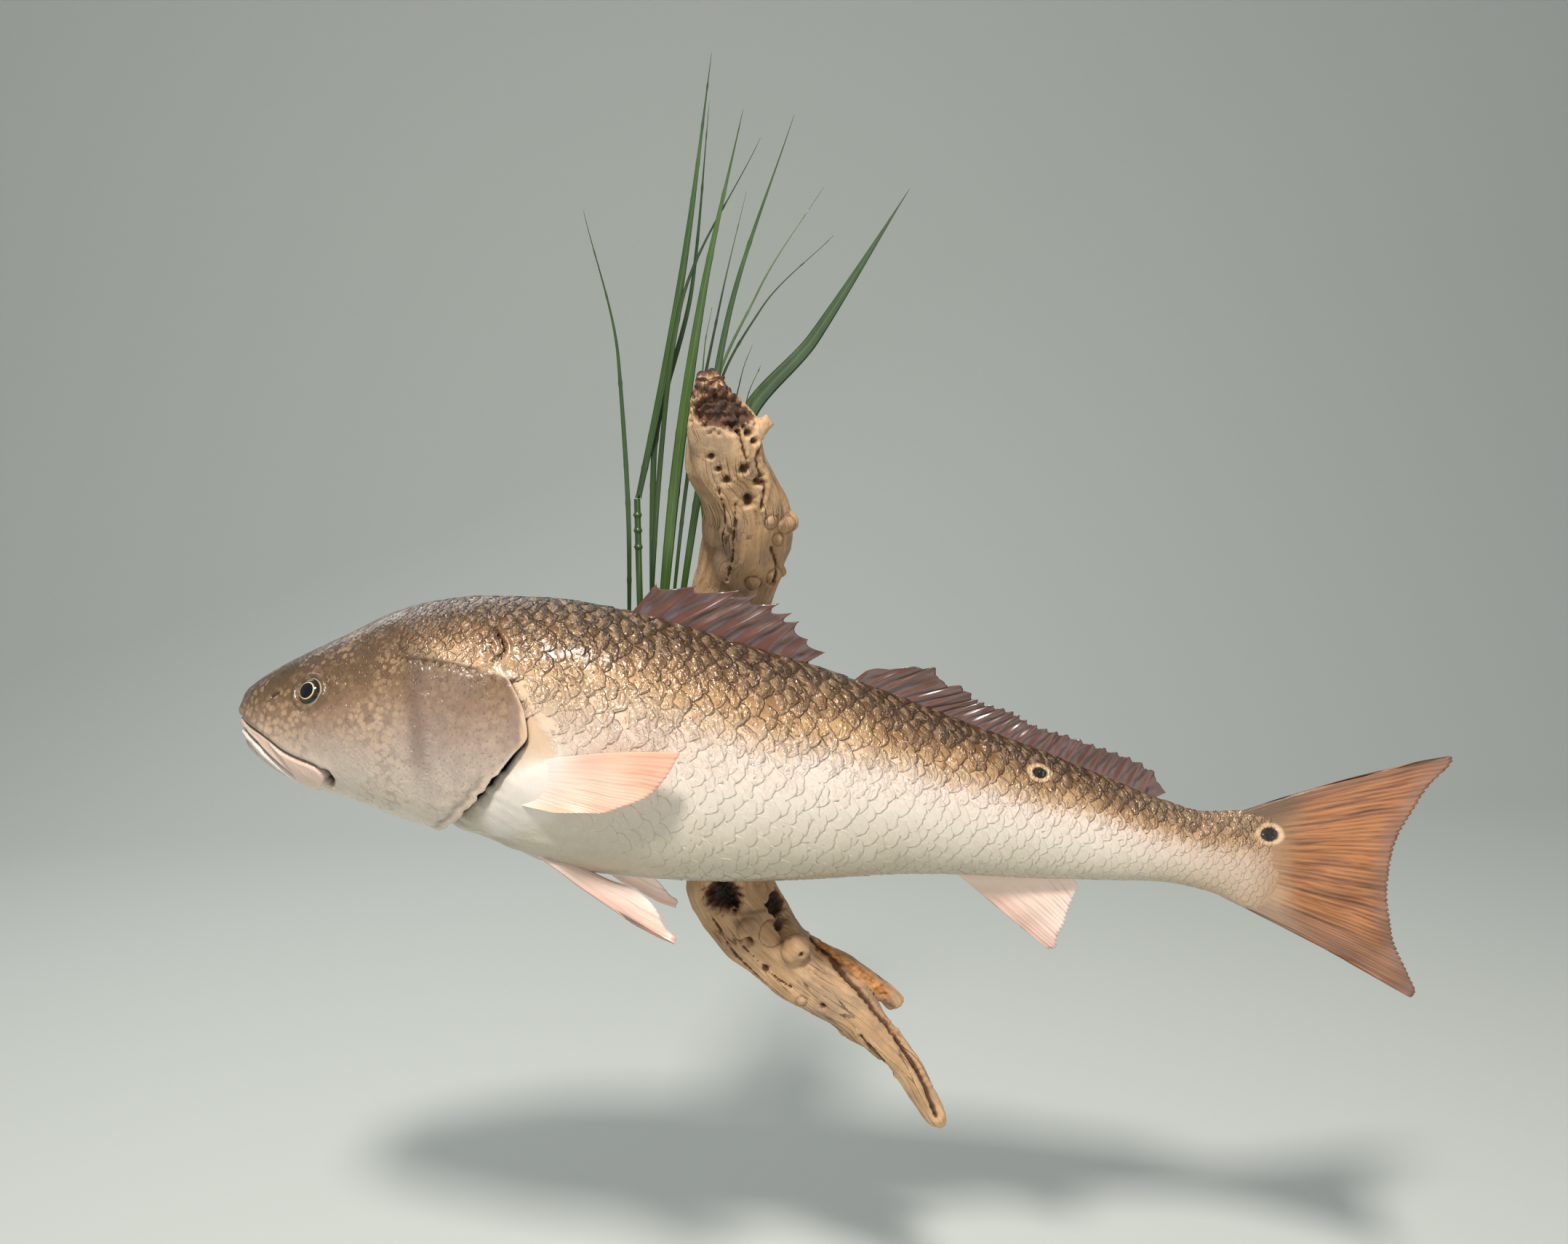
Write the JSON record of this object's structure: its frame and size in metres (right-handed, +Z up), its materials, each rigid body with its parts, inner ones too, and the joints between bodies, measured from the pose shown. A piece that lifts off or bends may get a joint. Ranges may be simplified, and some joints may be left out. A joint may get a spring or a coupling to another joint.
{
  "type": "mounted trophy fish",
  "caption": "Wall-hung taxidermy mount of a red drum swimming to the left, carried by a crooked driftwood branch with plastic marsh grass behind its back.",
  "frame": {"origin": "middle of the flat pad on the driftwood's back, on the wall's surface", "axes": "+X from the fish's head towards its tail, +Y into the wall, +Z up; the whole mount lies at Y below 0"},
  "size_m": [0.991, 0.2107, 0.8867],
  "materials": {
    "head_skin": "mottled tan painted skin under clear lacquer",
    "lip_skin": "pinkish cream painted skin under clear lacquer",
    "eye_glass": "polished glass dome, black pupil in a dark brown iris",
    "back_scales": "bronze to pearl scaled skin under clear lacquer",
    "flank_scales": "golden tan scaled skin under clear lacquer",
    "dorsal_fin": "reddish brown fin membrane under clear lacquer",
    "tail_fin": "burnt orange fin with dark rays under clear lacquer",
    "pale_fin": "pale salmon fin, satin",
    "driftwood": "weathered bare wood, dry",
    "grass": "moulded green plastic, satin"
  },
  "bodies": {
    "root": {"head": "head_skin", "gill_cover_left": "head_skin", "gill_cover_right": "head_skin", "upper_jaw": "lip_skin", "lower_jaw": "lip_skin", "eye_left": "eye_glass", "eye_right": "eye_glass", "trunk": "back_scales", "tail_stock": "flank_scales", "dorsal_fin_spiny": "dorsal_fin", "dorsal_fin_soft": "dorsal_fin", "caudal_fin": "tail_fin", "anal_fin": "pale_fin", "pectoral_fin_left": "pale_fin", "pectoral_fin_right": "pale_fin", "pelvic_fin_left": "pale_fin", "pelvic_fin_right": "pale_fin", "driftwood": "driftwood", "grass_base_front": "grass", "grass_base_rear": "grass", "grass_stem": "grass", "grass_blade_front_1": "grass", "grass_blade_front_2": "grass", "grass_blade_front_3": "grass", "grass_blade_front_4": "grass", "grass_blade_front_5": "grass", "grass_blade_front_6": "grass", "grass_blade_front_7": "grass", "grass_blade_rear_1": "grass", "grass_blade_rear_2": "grass", "grass_blade_rear_3": "grass", "grass_blade_rear_4": "grass", "grass_blade_rear_5": "grass", "grass_blade_rear_6": "grass", "grass_blade_rear_7": "grass"}
  },
  "joints": []
}
